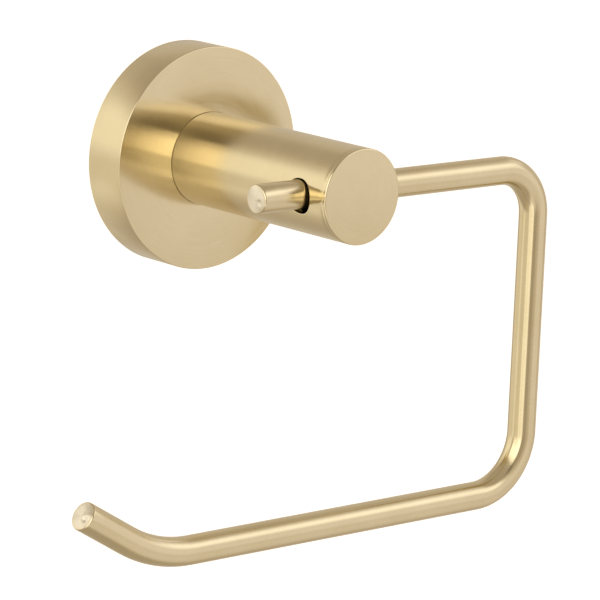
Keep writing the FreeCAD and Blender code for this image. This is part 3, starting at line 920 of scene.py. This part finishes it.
def soft_panel(graph, direction, azimuth, elevation, half_width, half_height, edge, amount):
    """A soft-edged rectangle of the room, with its half sizes and its edge in degrees."""
    middle = compass(azimuth, elevation)
    right = Z_AXIS.cross(middle).normalized()
    up = middle.cross(right)
    depth = graph.vector("DOT_PRODUCT", direction, tuple(middle)).outputs["Value"]
    level = amount
    for axis, half in ((right, half_width), (up, half_height)):
        reach = graph.vector("DOT_PRODUCT", direction, tuple(axis)).outputs["Value"]
        offset = graph.math("ARCTAN2", reach, depth)
        offset = graph.math("ABSOLUTE", offset)
        start, stop = math.radians(half - edge / 2), math.radians(half + edge / 2)
        inside = graph.remap(offset, start, stop, 1, 0, smooth=True)
        level = graph.math("MULTIPLY", inside, level)
    return level


# The room: its general level and its panels, in degrees. A negative amount is a dark one.

ROOM_LEVEL = 0.42
ROOM_PANELS = [
    # azimuth, elevation, half width, half height, soft edge, amount
    (-68, 21, 32, 22, 8, 0.92),
    (-46, 14, 11, 15, 12, 0.55),
    (-54, -20, 18, 20, 10, 0.64),
    (-30, -38, 16, 14, 12, 0.30),
    (-95, -14, 25, 14, 14, 0.30),
    (-145, 2, 34, 31, 20, 0.34),
    (-138, 12, 22, 14, 16, 0.30),
    (-166, 31, 22, 8, 12, 0.12),
    (-168, -32, 24, 8, 12, 0.24),
    (62, 39, 36, 11, 12, 0.38),
    (44, 10, 32, 28, 28, 0.31),
    (45, -42, 40, 20, 20, 0.20),
    (30, -5, 80, 50, 30, 0.10),
    (130, 0, 35, 45, 30, 0.14),
    (-20, 12, 12, 34, 8, -0.12),
    (-15, 37, 13, 9, 6, -0.13),
]
DIM_TINT = (1.16, 1.0, 0.80, 1)
LEFT_TINT = (1.08, 1.0, 0.87, 1)
RIGHT_TINT = (1.07, 1.0, 0.98, 1)


def make_room():
    """The room that the metal reflects: dim and warm, with soft bright panels in it.

    The camera sees it as plain white."""
    world = bpy.data.worlds.new("studio_room")
    world.use_nodes = True
    graph = Graph(world.node_tree)
    direction = graph.node("ShaderNodeTexCoord").outputs["Generated"]
    level = ROOM_LEVEL
    for settings in ROOM_PANELS:
        level = graph.math("ADD", soft_panel(graph, direction, *settings), level)
    facing = graph.vector("DOT_PRODUCT", direction, tuple(compass(50, 0))).outputs["Value"]
    bright = graph.mix(graph.remap(facing, -0.2, 0.6, 0, 1), LEFT_TINT, RIGHT_TINT)
    tint = graph.mix(graph.remap(level, 0.45, 0.9, 0, 1), DIM_TINT, bright)
    room = graph.node("ShaderNodeBackground", {"Color": tint, "Strength": level})
    white = graph.node("ShaderNodeBackground", {"Color": (1, 1, 1, 1), "Strength": 1.05})
    seen = graph.node("ShaderNodeLightPath").outputs["Is Camera Ray"]
    both = graph.node("ShaderNodeMixShader", {0: seen, 1: room.outputs[0], 2: white.outputs[0]})
    output = graph.node("ShaderNodeOutputWorld")
    graph.tree.links.new(both.outputs[0], output.inputs["Surface"])
    bpy.context.scene.world = world


def make_floor(radius=9.0, depth=1.2, count=96):
    mesh = QuadMesh()
    rings = []
    for share in (1.0, 0.75, 0.5, 0.25):
        turns = [2 * math.pi * i / count for i in range(count)]
        spread = [Vector((math.cos(t), math.sin(t), 0)) * radius * share for t in turns]
        rings.append(mesh.ring(spread))
    rings.append(mesh.ring([Vector()]))
    for first, second in zip(rings, rings[1:]):
        mesh.bridge(first, second)
    floor = mesh.finish("floor")
    floor.location.z = -depth
    floor.visible_glossy = False
    floor.visible_shadow = False
    dress(floor, pale_floor())


# Where the camera stands, in degrees and metres, and its focal length in millimetres

CAMERA_AZIMUTH = -40.88
CAMERA_ELEVATION = 12.163
CAMERA_ROLL = math.radians(2.355)
CAMERA_DISTANCE = 0.937935
CAMERA_RIGHT = 0.030126
CAMERA_UP = -0.03679
CAMERA_LENS = 228.486


def make_camera():
    """The camera looks past the origin, so that the whole holder fills the view."""
    back = compass(CAMERA_AZIMUTH, CAMERA_ELEVATION)
    level_right = Z_AXIS.cross(back).normalized()
    level_up = back.cross(level_right)
    roll = Matrix.Rotation(CAMERA_ROLL, 3, back)
    right, up = roll @ level_right, roll @ level_up
    data = bpy.data.cameras.new("studio_camera")
    data.lens = CAMERA_LENS
    data.sensor_width = 36
    data.clip_start = 0.01
    data.clip_end = 50
    camera = bpy.data.objects.new("studio_camera", data)
    place = back * CAMERA_DISTANCE + right * CAMERA_RIGHT + up * CAMERA_UP
    axes = Matrix((right, up, back)).transposed().to_4x4()
    camera.matrix_world = Matrix.Translation(place) @ axes
    bpy.context.scene.collection.objects.link(camera)
    bpy.context.scene.camera = camera


def light_studio():
    softbox("left_softbox", -76, 28, 1.8, 1.7, 1.1, 0.26)
    softbox("right_softbox", 44, 30, 1.8, 1.6, 0.9, 0.22)


build_holder()
make_floor()
make_room()
light_studio()
make_camera()
bpy.context.scene.view_settings.view_transform = "Standard"
